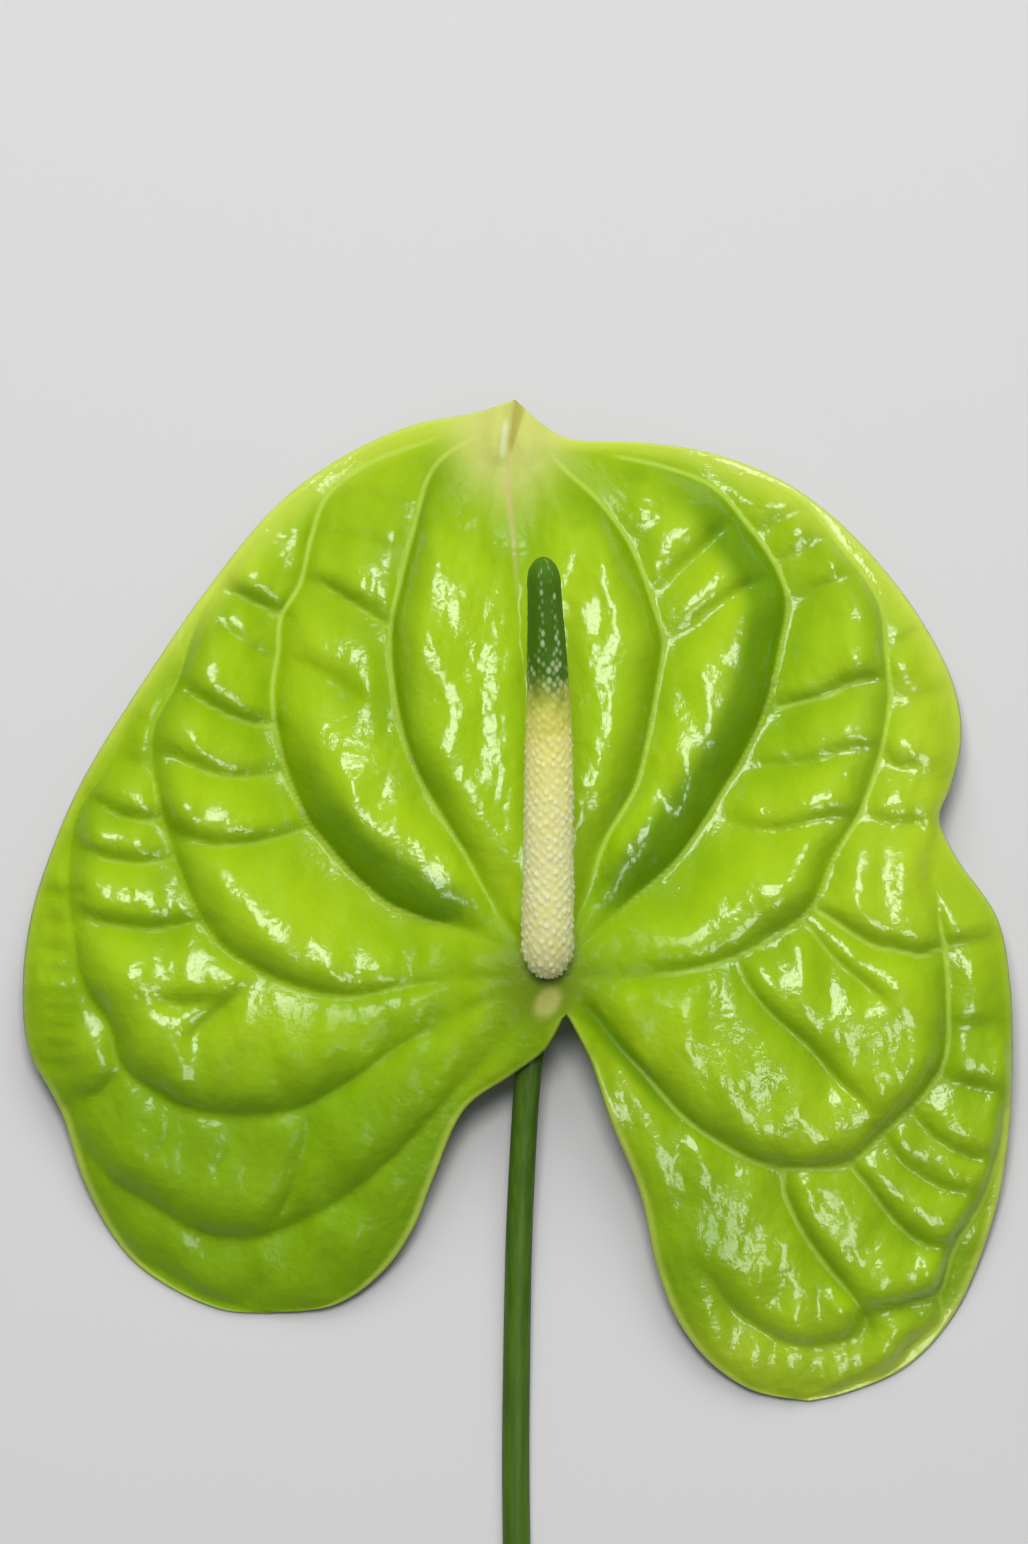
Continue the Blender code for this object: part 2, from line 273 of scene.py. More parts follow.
# %% Secondary veins: strength, then the points of each
SECONDARY = (
    (0.7, ((-23.6, 53.5), (-29.5, 57.5), (-35.9, 61.4))),
    (0.25, ((-20.6, 70.5), (-25, 73), (-30, 74.7))),
    (0.25, ((-21.5, 65), (-28, 67), (-35, 68))),
    (0.3, ((-25, 41.5), (-29, 44), (-34, 47), (-40, 50))),
    (0.2, ((-19.8, 70), (-15, 68), (-9, 68.5))),
    (0.7, ((-40, 55.4), (-45.3, 58), (-49, 60))),
    (0.4, ((-41, 48.5), (-44, 50), (-50, 55))),
    (0.7, ((-40.8, 38.7), (-44.5, 39.2), (-48.6, 40.8), (-52.8, 43.4), (-54.8, 46))),
    (0.6, ((-40, 31.7), (-43.4, 31.2), (-47.6, 31), (-51.2, 32), (-58, 35.6))),
    (0.6, ((-36.2, 23.4), (-40.3, 22), (-45.5, 21), (-50.7, 21), (-56.4, 23.6))),
    (0.6, ((-57.5, 24.7), (-61.1, 24.7), (-64.7, 25.6), (-68.9, 28.8))),
    (0.6, ((-56, 18.7), (-60.1, 18.2), (-64.2, 18.5), (-67.9, 19.5), (-70.7, 21.5))),
    (0.6, ((-52.9, 9.3), (-58.7, 8.3), (-64.5, 8.8), (-68.6, 10), (-71.7, 12.9))),
    (0.4, ((-58.7, 33), (-62, 33.2), (-65.5, 35))),
    (0.3, ((-59, 39), (-61.5, 39.8), (-63.5, 41.5))),
    (0.4, ((-50.6, -2.3), (-52.9, -2.8), (-55.8, -3.1), (-58.7, -1.7))),
    (0.4, ((-44.8, -0.5), (-47.1, -2.3), (-49.4, -4.3), (-51.7, -6.3), (-53.8, -8.7))),
    (0.5, ((-64.5, -13.8), (-67.4, -16.7), (-70.9, -17.6))),
    (0.25, ((-47.1, -20.2), (-47.1, -24.3), (-48.9, -27.2), (-50.3, -30.1))),
    (0.35, ((-35.6, -20.2), (-36.2, -23.7), (-37.3, -28.3), (-39.1, -32.9), (-42, -36))),
    (0.2, ((-56, -19), (-57, -23), (-60, -27.5))),
    (0.5, ((15.8, 58), (21, 63), (25.5, 67), (28.5, 70.5))),
    (0.5, ((17.9, 51.3), (21, 53), (27.5, 58), (33.5, 61.3))),
    (0.25, ((12.8, 66), (17.5, 70.5), (21.5, 75.5))),
    (0.5, ((36.7, 56), (40.6, 59.1), (43.8, 60.7), (47.5, 62.8))),
    (0.9, ((34.3, 41.2), (38, 42.2), (42.7, 43.5), (45.9, 45.1), (51, 46.2))),
    (0.5, ((30, 32.7), (35, 33), (40, 33.3), (45.5, 35.3), (50.3, 35.2))),
    (0.5, ((25.8, 25.3), (29, 23.8), (32.7, 23.2), (36.9, 23.5), (42.2, 25), (46.9, 25.3))),
    (0.5, ((32.4, 68), (35.3, 69.7), (38.5, 71.8))),
    (0.5, ((35, 63), (38, 65), (41, 66.5), (44, 67))),
    (0.5, ((50.8, 35.2), (52.4, 32.7), (56, 33))),
    (0.5, ((47.2, 25.8), (51.7, 24), (55.9, 24), (58.5, 24.5))),
    (0.5, ((51.2, 50), (54.5, 52), (57, 54))),
    (0.4, ((51.5, 43), (55.5, 43), (60.5, 44.5))),
    (0.8, ((39.8, 11.7), (42.8, 9.8), (46, 7.7), (49.2, 5.8), (52.5, 5.2), (56.3, 4.4), (59.5, 5.5),
           (64.9, 6.6), (68.5, 7.5))),
    (0.6, ((38.8, 9.5), (40.6, 7.1), (42.2, 5), (44.4, 2.8), (47, 0.6), (51, -2.5))),
    (0.6, ((29, 3.5), (29.4, 1.5), (30.9, -1), (34.7, -5.3), (39, -9), (42.8, -13.4), (45.5, -16),
           (49, -19))),
    (0.9, ((36, -27.8), (35.7, -30.7), (37.4, -35), (39.5, -38.8), (42.8, -43.1), (46, -46.9),
           (48.2, -49.8))),
    (0.7, ((45.5, -27.2), (48.2, -30.1), (50.9, -33.9), (53.6, -36.9), (56.3, -39), (59, -39.9),
           (61.7, -39.9))),
    (0.5, ((50.9, -22.9), (53.6, -26.9), (56.8, -29.3), (59.5, -30.9), (65.6, -32))),
    (0.5, ((54.7, -19), (57.9, -22.6), (60.6, -24.5), (63.3, -26.1), (68, -26.5))),
    (0.5, ((59, -13.5), (61.7, -14.8), (64.4, -15.6), (69.5, -16.5))),
    (0.4, ((60.3, -6), (63.5, -6.3), (66, -6), (69.8, -5.6))),
    (0.8, ((69.8, -18), (68.7, -24.2), (66, -32.8), (61.7, -40.4), (59.5, -46.9), (55.7, -48.5),
           (48.2, -49.8))),
    (0.7, ((59.5, -46.9), (60, -51.2), (56.8, -54.4), (53.6, -57.1))),
    (0.5, ((48.2, -49.8), (48.4, -52.3), (44.4, -54.4), (39.5, -55), (35.2, -53.9), (30.9, -51.2),
           (27.6, -48.5), (24.5, -43.5))),
    (0.4, ((59.3, 23.5), (57.5, 18.5), (57.8, 13))),
)
# The short rungs between the outermost left vein and the rim.
RUNG_HEIGHTS = (14.5, 10.0, 6.0, 2.6, -0.6, -3.2, -5.8, -8.6, -11.3)
RUNGS = tuple((0.4, ((-69.5 - 0.08 * (12.0 - y), y - 0.6), (-72.5, y - 1.1), (-76.0, y - 0.4)))
              for y in RUNG_HEIGHTS)
print(len(PRIMARY_LEFT + PRIMARY_RIGHT), "primary veins,", len(SECONDARY + RUNGS), "secondary veins")

# %% [markdown]
# ## Pillows between the veins
# Between its veins the sheet swells up like a quilt. It could be sculpted pillow by pillow. A skin
# does it by itself: blow it up while it is held down along the veins, and each pillow's height
# follows the room it has. So the swelling is worked out on a raster over the whole sheet, from
# fields that say where the skin is held and how hard it is pressed.

# %% The raster
PITCH = 0.4  # millimetres a cell
RASTER_LOW = np.array([-86.0, -70.0])
RASTER_SHAPE = (408, 400)  # rows along Y, columns along X, both multiples of 8 for the coarse start
raster_x = RASTER_LOW[0] + PITCH * np.arange(RASTER_SHAPE[1])
raster_y = RASTER_LOW[1] + PITCH * np.arange(RASTER_SHAPE[0])
grid_x, grid_y = np.meshgrid(raster_x, raster_y)
foot_distance = np.hypot(grid_x, grid_y)
print("raster up to X", raster_x[-1].round(1), "and Y", raster_y[-1].round(1), "mm")


def near_line(line, reach):
    """The window of the raster within reach of a line, with each cell's distance from it.

    The distance is that to the line's nearest point. Also returns the side, positive on the left of
    the line's way, and the share of the line before the nearest point.
    """
    low = np.floor((line.min(axis=0) - reach - RASTER_LOW) / PITCH).astype(int).clip(0)
    high = np.ceil((line.max(axis=0) + reach - RASTER_LOW) / PITCH).astype(int) + 1
    window = slice(low[1], high[1]), slice(low[0], high[0])
    x, y = grid_x[window], grid_y[window]
    nearest = ((x[..., None] - line[:, 0]) ** 2 + (y[..., None] - line[:, 1]) ** 2).argmin(axis=-1)
    off_x, off_y = x - line[nearest, 0], y - line[nearest, 1]
    way = np.gradient(line, axis=0)[nearest]
    side = np.sign(way[..., 0] * off_y - way[..., 1] * off_x)
    return window, np.sqrt(off_x ** 2 + off_y ** 2), side, nearest / (len(line) - 1)


def raise_to(field, window, values):
    """Raises a window of a field to the given values wherever they are higher."""
    field[window] = np.maximum(field[window], values)


# %% [markdown]
# ## Laying the veins
# Each vein holds the skin down by a pull that fades away within a millimetre. A crease cut to an
# even depth would look drawn on. A pull lets a weak vein ride up with its pillows and keeps a strong
# one in its valley. A vein also leaves a pale line and a strip of dull wax. The rims are held too.

# %% Lay the veins and hold the rims
RESTING_PULL = 1 / 17.0  # keeps the panels flat in their middles, with steep sides by the veins
VEIN_PULL, VEIN_WIDTH = 7.0, 0.55
PALE_WIDTH, DULL_WIDTH = 0.6, 1.3
FAINTEST = 0.15  # what is left of a vein at its ends
HAIR = 1e-6  # a share of the length, so that no vein starts at nothing
pull = np.full(RASTER_SHAPE, RESTING_PULL)
pressure = np.ones(RASTER_SHAPE)
vein_line, painted_shade, dull, gutter = (np.zeros(RASTER_SHAPE) for _ in range(4))


def lay_vein(strength, points, first, last):
    """Adds one vein. It pulls by its strength squared, and fades over shares of its length."""
    window, distance, _, along = near_line(smooth_line(points, step=0.35), 5.0)
    fade = rise(0.0, first, along + HAIR) * rise(0.0, last, 1.0 - along + HAIR)
    fade = FAINTEST + (1.0 - FAINTEST) * fade
    raise_to(pull, window, VEIN_PULL * strength ** 2 * fade * bell(distance, VEIN_WIDTH))
    raise_to(vein_line, window, min(1.0, strength) * fade * bell(distance, PALE_WIDTH))
    raise_to(dull, window, fade * bell(distance, DULL_WIDTH))


for _, strength, points in PRIMARY_LEFT + PRIMARY_RIGHT:
    lay_vein(1.15 * strength, points, 0.03, 0.08)
for strength, points in SECONDARY + RUNGS:
    lay_vein(1.25 * strength, points, 0.02, 0.25)
lay_vein(0.4, MIDRIB[1:-1], 0.02, 0.02)
for rim in (LEFT_OUTER, RIGHT_OUTER, LEFT_INNER[1:], RIGHT_INNER[1:]):
    window, distance, _, _ = near_line(smooth_line(rim, step=0.4), 3.0)
    raise_to(pull, window, 2.5 * bell(distance, 0.8))
print(f"veins or rims hold {(pull > 1.0).mean():.0%} of the raster")

# %% [markdown]
# ## Pillows that lean
# Under an even pressure every pillow would be a neat dome. On the real flower they sag: they rise
# slowly from one vein and drop steeply to the next, and the steep side is dark. So the pressure is
# raised on one side of each vein and lowered on the other, and shade is painted on the steep side.

# %% Sag beside the secondary veins
for strength, points in SECONDARY + RUNGS:
    window, distance, side, along = near_line(smooth_line(points, step=0.5), 8.0)
    above = side * (points[-1][0] - points[0][0]) > 0
    pressure[window] += strength * np.where(above, 2.8 * bell(distance - 2.0, 2.2),
                                            -0.9 * bell(distance, 3.0))
    # Shade is painted on the steep lower end of the pillow above each secondary vein, less of it on the
    # right half.
    darkest = 0.75 if points[0][0] < 0 else 0.35  # the right half's hollows are lighter
    dark = darkest * strength * rise(0.0, 0.3, 1.0 - along)
    raise_to(painted_shade, window, np.where(above, dark * bell(distance - 1.2, 2.0), 0.0))
print("pressure from", pressure.min().round(2), "to", pressure.max().round(2))

# %% Steep drops to the primary veins
# For each vein from the inmost out: the share of its length where the drop begins, the pressure on
# its outer side, and the darkness of the shade painted inside it and that shade's distance from the
# line. The second vein is the deepest. Its drop begins at its very foot and its painted shade is
# darkest there.
DROPS = ((0.12, -0.95, 0.55, 1.5), (0.02, -0.95, 0.8, 3.0), (0.12, -0.45, 0.8, 1.5),
         (0.12, -0.45, 1.0, 1.5), (0.12, -0.45, 1.0, 1.5))
LAST_SHARE = (0.0, 0.15)  # where the drop ends, as a share of the length counted from the tip

for veins, inner, second_share in ((PRIMARY_LEFT, -1.0, (0.35, 0.75)), (PRIMARY_RIGHT, 1.0, (0.0, 0.30))):
    for i, ((depth, _, points), (start, outer_press, darkness, away)) in enumerate(zip(veins, DROPS)):
        window, distance, side, along = near_line(smooth_line(points, step=0.5), 22.0)
        share = second_share if i == 1 else LAST_SHARE
        ends = depth * rise(start, start + 0.2, along) * rise(*share, 1.0 - along)
        inside = side * inner > 0
        pressure[window] += np.where(inside, 2.0 * ends * bell(distance - 4.0, 4.5),
                                     outer_press * ends * bell(distance, 7.0))
        dark = darkness * ends * bell(distance - away, 4.2)
        if i == 1:
            dark *= 1.0 + 0.6 * rise(0.35, 0.10, along)
        raise_to(painted_shade, window, np.where(inside, dark, 0.0))
pressure = np.clip(pressure, 0.05, None)
print("pressure up to", pressure.max().round(2))

# %% [markdown]
# ## A gutter, and painted shade at the shoulders
# Beside the right lobe's inner rim a gutter runs out from the attachment, and below the tip the
# innermost pillows end in rounded shoulders, darkened with painted shade. Neither follows from the
# veins, so each is a short line of its own along which shade is painted onto the sheet. The gutter is
# also sunk into it further on.

# %% The gutter, and the shade painted along it and at the shoulders
GUTTER = ((4, -2.5), (7.1, -4.8), (10.9, -9.6), (15.8, -15.2), (21, -21), (27, -25.5))
SHOULDERS = (((-18.5, 74), (-16.5, 77.5), (-13, 79)), ((0, 73.5), (3.5, 75.3), (7.5, 73.8)),
             ((9, 75.5), (13.5, 76.8), (18.5, 74)), ((1.5, 67), (5.5, 69.5), (9.5, 67.5)))
window, distance, _, along = near_line(smooth_line(GUTTER, step=0.4), 6.0)
gutter[window] = faded(along, 0.1, 0.5) * bell(distance, 1.8)
painted_shade = np.maximum(painted_shade, 0.9 * gutter)
for shoulder in SHOULDERS:
    window, distance, _, along = near_line(smooth_line(shoulder, step=0.4), 5.0)
    raise_to(painted_shade, window, 0.5 * faded(along, 0.5, 0.5) * bell(distance, 2.2))
print(f"hollows darken {(painted_shade > 0.3).mean():.0%} of the raster")

# %% [markdown]
# ## Blowing up the skin
# A cloth simulation would blow up the skin in thousands of small steps. The equation for a skin at
# rest is solved sooner, by averaging neighbours, first on a coarse raster for the broad shape and
# then on finer ones. Under the tip, where the veins gather, the sheet is stiff and held everywhere.

# %% Swelling
ROUNDS = 260  # of averaging on each raster


def coarsened(field, factor):
    """The mean of each block of factor by factor cells."""
    rows, columns = np.array(RASTER_SHAPE) // factor
    return field.reshape(rows, factor, columns, factor).mean(axis=(1, 3))


def membrane(pull, pressure):
    """Height of a skin where pull times height, less the height's Laplacian, equals the pressure.

    In each round a cell becomes the sum of its four neighbours and its cell area times the pressure,
    over four plus its cell area times the pull.
    """
    height = 0.0 * coarsened(pull, 8)
    for factor in (8, 4, 2, 1):
        held, pressed = coarsened(pull, factor), coarsened(pressure, factor)
        area = (PITCH * factor) ** 2
        finer = len(held) // len(height)
        height = np.kron(height, np.ones((finer, finer)))
        for _ in range(ROUNDS):
            edge = np.pad(height, 1)
            around = edge[:-2, 1:-1] + edge[2:, 1:-1] + edge[1:-1, :-2] + edge[1:-1, 2:]
            height = (around + area * pressed) / (4.0 + area * held)
    return height


pull += 0.6 * rise(57.0, 69.0, grid_y - 0.7 * np.abs(grid_x + 5.5))
swell = membrane(pull, pressure)
print("swelling before scaling:", swell.max().round(2))

# %% [markdown]
# ## Puckers
# The real pillows are puckered at random, and each pucker catches the light. A bump texture would
# leave the mesh smooth. White noise, filtered to one wavelength along the stem and a shorter one
# across it, makes even waves of a known height.

# %% Random waves
def undulation(across, along, seed):
    """Even random waves, with a spread of 1, of one wavelength across (X) and another along (Y).

    A frequency's share is its square times e to the power of minus its square, in wavelengths.
    """
    white = np.random.default_rng(seed).standard_normal(RASTER_SHAPE)
    up = np.fft.fftfreq(RASTER_SHAPE[0], PITCH)[:, None] * along
    right = np.fft.rfftfreq(RASTER_SHAPE[1], PITCH)[None, :] * across
    share = (up ** 2 + right ** 2) * np.exp(-(up ** 2 + right ** 2))
    waves = np.fft.irfft2(np.fft.rfft2(white) * share, RASTER_SHAPE)
    return waves / waves.std()


BROAD_WAVES, FINE_WAVES = 0.21, 0.034  # heights in millimetres
waves = BROAD_WAVES * undulation(9.0, 16.0, 4) + FINE_WAVES * undulation(2.6, 4.4, 9)
print("waves up to", waves.max().round(2), "mm")

# %% [markdown]
# ## The large form
# Under the pillows the heart is a shallow saddle: highest at the attachment, falling to the tip and
# to both lobes, and folded down along the second vein on each side. A lattice could bend it, but
# the frame's plain sheet follows this same formula, so the finished one lies in its place.

# %% How far the sheet falls below the attachment
TIP_FALL, LOBE_FALL, SIDE_FALL = 9.5, 14.2, 6.2  # in millimetres, at the far end of each
HALF_WIDTH = 77.6
VALLEY_DEPTH, VALLEY_WIDTH = 3.2, 8.5

lobe_length = np.where(grid_x < 0, -LEFT_END[1], -RIGHT_END[1])
fall = TIP_FALL * np.clip(grid_y / TIP[1], 0.0, 1.0) ** 1.7
fall += LOBE_FALL * np.clip(-grid_y / lobe_length, 0.0, 1.1) ** 1.3
fall += SIDE_FALL * (grid_x / HALF_WIDTH) ** 2
for veins in (PRIMARY_LEFT, PRIMARY_RIGHT):
    line = smooth_line(veins[1][2], step=0.5)[10:]
    window, distance, _, along = near_line(line, 24.0)
    fall[window] += VALLEY_DEPTH * faded(along, 0.2, 0.2) * bell(distance, VALLEY_WIDTH)
print("falls by up to", fall[foot_distance < 88.0].max().round(1), "mm")

# %% The sheet's height over the table, with its pillows
ATTACHMENT_HEIGHT = 17.6
SHEET_THICKNESS = 0.9
PILLOW_SCALE, PILLOW_POWER = 0.38, 0.75
PILLOW_MEAN = 1.7  # taken off again, so that the pillows swell up and the veins sink about evenly

pillows = PILLOW_SCALE * swell ** PILLOW_POWER * rise(0.0, 13.0, foot_distance)
pillows += rise(0.0, 1.2, pillows) * waves
sheet = ATTACHMENT_HEIGHT + 0.5 * SHEET_THICKNESS - fall + pillows
sheet -= PILLOW_MEAN * rise(0.0, 20.0, foot_distance) + 0.8 * gutter
print("pillows up to", pillows.max().round(2), "mm")

# %% The tip is drawn together: a groove on the midrib between two raised flanks
line = smooth_line(MIDRIB, step=0.3)
window, distance, side, _ = near_line(line[line[:, 1] > 70.0], 8.0)
beak = rise(76.5, 81.5, grid_y[window])
flanks = np.where(side > 0, 0.7 * bell(distance - 3.0, 2.2), 1.3 * bell(distance - 2.4, 1.9))
sheet[window] += beak * (flanks - 0.4 * bell(distance, 0.9))
print("flanks up to", (beak * flanks).max().round(2), "mm")

# %% [markdown]
# ## Reading the raster
# The sheet's points lie between the raster's cells. The nearest cell would leave steps, and a
# straight blend of four would leave creases that shine. A cubic blend of sixteen is smooth.

# %% Reading a field anywhere
def sample(field, x, y):
    """The field at any X, Y in millimetres, by cubic (Catmull-Rom) interpolation of its 16 cells."""
    row, column = (y - RASTER_LOW[1]) / PITCH, (x - RASTER_LOW[0]) / PITCH
    i, j = np.floor(row).astype(int), np.floor(column).astype(int)
    up, right = ((-0.5 * part + part ** 2 - 0.5 * part ** 3,
                  1.0 - 2.5 * part ** 2 + 1.5 * part ** 3,
                  0.5 * part + 2.0 * part ** 2 - 1.5 * part ** 3,
                  -0.5 * part ** 2 + 0.5 * part ** 3) for part in (row - i, column - j))
    total = np.zeros(np.shape(x))
    for a in range(4):
        for b in range(4):
            cell = (i + a - 1).clip(0, RASTER_SHAPE[0] - 1), (j + b - 1).clip(0, RASTER_SHAPE[1] - 1)
            total += up[a] * right[b] * field[cell]
    return total


# %% [markdown]
# ## Building the sheet
# The front of each half is a fine grid. The back is a coarser one, lower by the sheet's thickness,
# which thins to nothing at the rim along a quarter circle, so front and back close in a round edge.
# A Solidify modifier would thicken the sheet too, but with a square edge.

# %% Front and back of both halves
ROWS_MIDRIB, ROWS_LOBE = 158, 92
FRONT_COLUMNS, BACK_COLUMNS = 151, 41  # the back has no fine veins to carry
RIM_RADIUS = 0.75
MARGIN_ROLL = 1.1  # how far the rim rolls down
LOWEST_FRONT = 0.95  # the lobes press flat on the table instead of through it
SOFTENING = 0.5


def spathe_half(inner, outer, columns, crowding):
    """X and Y of one half's grid, with each point's distance from the outer and the inner free edge.

    Rows run straight from the middle line to the rim. The share walked is even, less a sine.
    """
    middle = np.vstack([smooth_line(MIDRIB, ROWS_MIDRIB + 1), smooth_line(inner, ROWS_LOBE + 1)[1:]])
    edge = smooth_line(outer, len(middle))
    width = np.linalg.norm(edge - middle, axis=1)[:, None]
    even = np.linspace(0.0, 1.0, columns)
    across = even - crowding * np.sin(2.0 * np.pi * even) / (2.0 * np.pi)
    flat = middle[:, None, :] * (1.0 - across[:, None]) + edge[:, None, :] * across[:, None]
    lobe = np.arange(len(middle))[:, None] > ROWS_MIDRIB
    return flat[..., 0], flat[..., 1], width * (1.0 - across), np.where(lobe, width * across, 1e3)


def front_height(x, y, from_outer, from_inner):
    """The raster's height, less a roll at the rim, plus a curl of the right lobe's inner rim.

    A soft maximum, the logarithm of a sum of powers of e, keeps it above the lowest front.
    """
    curl = np.where(x > 3.0, 1.5 * bell(y + 15.0, 8.0) * rise(3.5, 0.0, from_inner), 0.0)
    height = sample(sheet, x, y) - MARGIN_ROLL * rise(7.0, 0.0, from_outer) + curl
    return LOWEST_FRONT + SOFTENING * np.logaddexp(0.0, (height - LOWEST_FRONT) / SOFTENING)


# %% [markdown]
# ## Where the sheet changes colour
# A spathe is paler at its margin and veins, and tan at its tip. Shade is painted into its hollows,
# over its left lobe and into the fold at its tip, and light onto its pillow tops, its top, its right
# margin and the bottom of its right lobe. A painted image would blur at the veins. Values on the
# mesh's own points are as fine as the mesh, and follow its shape.

# %% Values from 0 to 1 that steer colour and gloss
def tints(x, y, from_outer, from_inner, back):
    """Each is a product of rises and bells of X, Y and the distances from rim, midrib and foot."""
    free = np.minimum(from_outer, from_inner)
    high = rise(10.0, 75.0, y)
    midrib_x, midrib_y = np.array(MIDRIB[::-1]).T
    off_midrib = x - np.interp(y, midrib_y, midrib_x)
    from_midrib = np.abs(off_midrib)
    vein = sample(vein_line, x, y).clip(0.0, 1.0) * rise(4.0, 24.0, np.hypot(x, y))
    beak = rise(79.0, 87.5, y)
    # Painted shade: the left lobe, which tilts away from the light, and a patch of the right lobe are
    # darkened.
    lobe = np.maximum(rise(4.0, -26.0, y) * rise(2.0, -22.0, x),
                      0.8 * bell(np.hypot(x - 23.0, 0.6 * (y + 38.0)), 10.0))
    # Painted light: along the bottom of the right lobe the pale band at the rim is widened.
    painted_light_low_right = 0.9 * rise(-38.0, -60.0, y) * (x > 0.0)
    low_left = 0.85 * rise(1.0, -7.0, y) * rise(-54.0, -42.0, x) * (x < 0.0)
    near_foot = 0.97 * rise(34.0, 13.0, np.hypot(x, 1.7 * (y - 1.0)))
    near_tip = (0.95 * rise(60.0, 70.0, y - 0.45 * from_midrib)
                * rise(32.0, 17.0, from_midrib))
    matt = (rise(0.2, 0.9, vein), 0.55 * lobe, low_left, near_foot, near_tip,
            0.9 * rise(10.0, -14.0, x) * sample(dull, x, y))
    # Painted light: the right margin, the bottom of the right lobe and the top half are lightened.
    painted_light = (rise(30.0, 62.0, x) * rise(-5.0, 20.0, y),
              (x > 0.0) * rise(-45.0, -60.0, y), 0.35 * rise(35.0, 68.0, y))
    return {
        "vein": vein,
        "matt": np.max(matt, axis=0),
        "painted_shade": sample(painted_shade, x, y),
        "lobe": lobe,
        # Painted light on the pillow tops, and painted shade where they sink to the veins.
        "painted_top_light": sample(pillows, x, y),
        "painted_light": np.max(painted_light, axis=0),
        "rim": rise(1.9, 0.2, free)
        * (0.35 + 0.65 * np.maximum(high, rise(-8.0, -24.0, y))),
        # The margin's own paler colour, widened by painted light along the bottom of the right lobe.
        "pale": rise(2.5 + 5.0 * high + 7.0 * painted_light_low_right, 0.0, from_outer)
        * (0.25 + 0.75 * np.maximum(high, painted_light_low_right)),
        "tip": rise(63.0, 83.0, y - 0.6 * from_midrib) * rise(17.0, 3.0, from_midrib),
        "midrib": bell(from_midrib, 0.6) * rise(48.0, 74.0, y),
        # Painted shadow: an olive band in the fold of the tip.
        "painted_fold_shadow": bell((off_midrib - 0.7 * beak) / (0.25 + 0.75 * beak), 1.0) * rise(78.5, 82.0, y),
        "flank": bell(off_midrib + 1.1, 0.55) * rise(78.0, 80.5, y) * rise(86.5, 83.5, y),
        "base": bell(np.hypot(0.85 * (x + 0.5), y - 0.5), 8.0),
        "collar": bell(np.hypot(x - 0.2 - 0.3 * (y + 2.5), 0.8 * (y + 2.5)), 1.9),
        "back": np.full(x.shape, back)}


# %% One closed sheet
def add_spathe():
    """Each half's front, and its back one thickness lower, which rises to it on a quarter circle."""
    points, triangles, parts = [], [], []
    start = 0
    for inner, outer, turn in ((LEFT_INNER, LEFT_OUTER, True), (RIGHT_INNER, RIGHT_OUTER, False)):
        for back, columns, crowding in ((0.0, FRONT_COLUMNS, 0.2), (1.0, BACK_COLUMNS, 0.8)):
            x, y, from_outer, from_inner = spathe_half(inner, outer, columns, crowding)
            near = np.clip(1.0 - np.minimum(from_outer, from_inner) / RIM_RADIUS, 0.0, 1.0)
            round_edge = np.sqrt(np.clip(1.0 - near ** 2, 0.0, 1.0))
            sink = 0.5 * SHEET_THICKNESS * (1.0 - round_edge if back == 0.0 else 1.0 + round_edge)
            z = front_height(x, y, from_outer, from_inner) - sink
            points.append(np.stack([x, y, z], axis=-1).reshape(-1, 3))
            triangles.append(grid_triangles(*x.shape, start, flip=turn != (back == 1.0)))
            start += x.size
            parts.append(tints(x, y, from_outer, from_inner, back))
    return mesh_piece("spathe_sheet", np.vstack(points), np.vstack(triangles),
                      {name: np.concatenate([part[name].ravel() for part in parts])
                       for name in parts[0]})


spathe = add_spathe()

# %% [markdown]
# ## A ring carried along a line
# Spadix and stalk are both rods that bend. A curve object with a bevel would give a plain round
# tube. A ring carried along a smooth line can have any radius at any angle, which the florets and
# the ribs need.

# %% Rods
def carried(line, radius, angle):
    """Rings of points: the line's point, plus radius times the direction that lies at the angle.

    The cosine of the angle goes level, to the right of the line's way, and its sine goes upward.
    """
    along = np.gradient(line, axis=0)
    along /= np.linalg.norm(along, axis=1, keepdims=True)
    level = np.cross(along, np.array([0.0, 0.0, 1.0]))
    level[np.linalg.norm(level, axis=1) < 0.05] = np.array([1.0, 0.0, 0.0])  # where it goes straight up
    level /= np.linalg.norm(level, axis=1, keepdims=True)
    upward = np.cross(level, along)
    return line[:, None, :] + radius[..., None] * (np.cos(angle)[..., None] * level[:, None, :]
                                                   + np.sin(angle)[..., None] * upward[:, None, :])


def rod(name, rings, start, attributes):
    """A mesh of rings in order, with a fan from the first ring to the start point.

    The last ring has been drawn to a point already. The start point's attributes are 0.
    """
    rows, columns = rings.shape[:2]
    ring = np.arange(columns)
    fan = np.stack([np.full(columns, rows * columns), np.roll(ring, -1), ring], axis=1)
    return mesh_piece(name, np.vstack([rings.reshape(-1, 3), [start]]),
                      np.vstack([grid_triangles(rows, columns, around=True), fan]),
                      {label: np.append(values.ravel(), 0.0) for label, values in attributes.items()})


def ring_angles(columns):
    """Even angles round a ring, as one row."""
    return np.linspace(0.0, 2.0 * np.pi, columns, endpoint=False)[None, :]


# %% [markdown]
# ## The spadix
# The spike is a tapering rod packed with about a thousand florets in staggered rows. They could be
# copies of one small mesh, but real florets are fused to the rod. So its radius is raised by a bell
# round each floret's centre, which keeps all of it one skin. Each floret has a height of its own
# and stands a little off its place.

# %% The florets
SPADIX_LINE = ((0.2, 3.7, 17.6), (0.2, 4.1, 20.6), (0.2, 7.5, 24.6), (0.3, 20, 30.9), (0.3, 40, 39.5),
               (-0.1, 52, 44.6), (-0.6, 63.2, 49.2))
SPADIX_RADIUS = 4.1
FLORETS_ROUND, FLORET_LENGTH = 13, 1.6
HALF_ROUND, HALF_ALONG = np.pi * SPADIX_RADIUS / FLORETS_ROUND, 0.5 * FLORET_LENGTH
TWIST = 0.03  # half steps round for each millimetre along


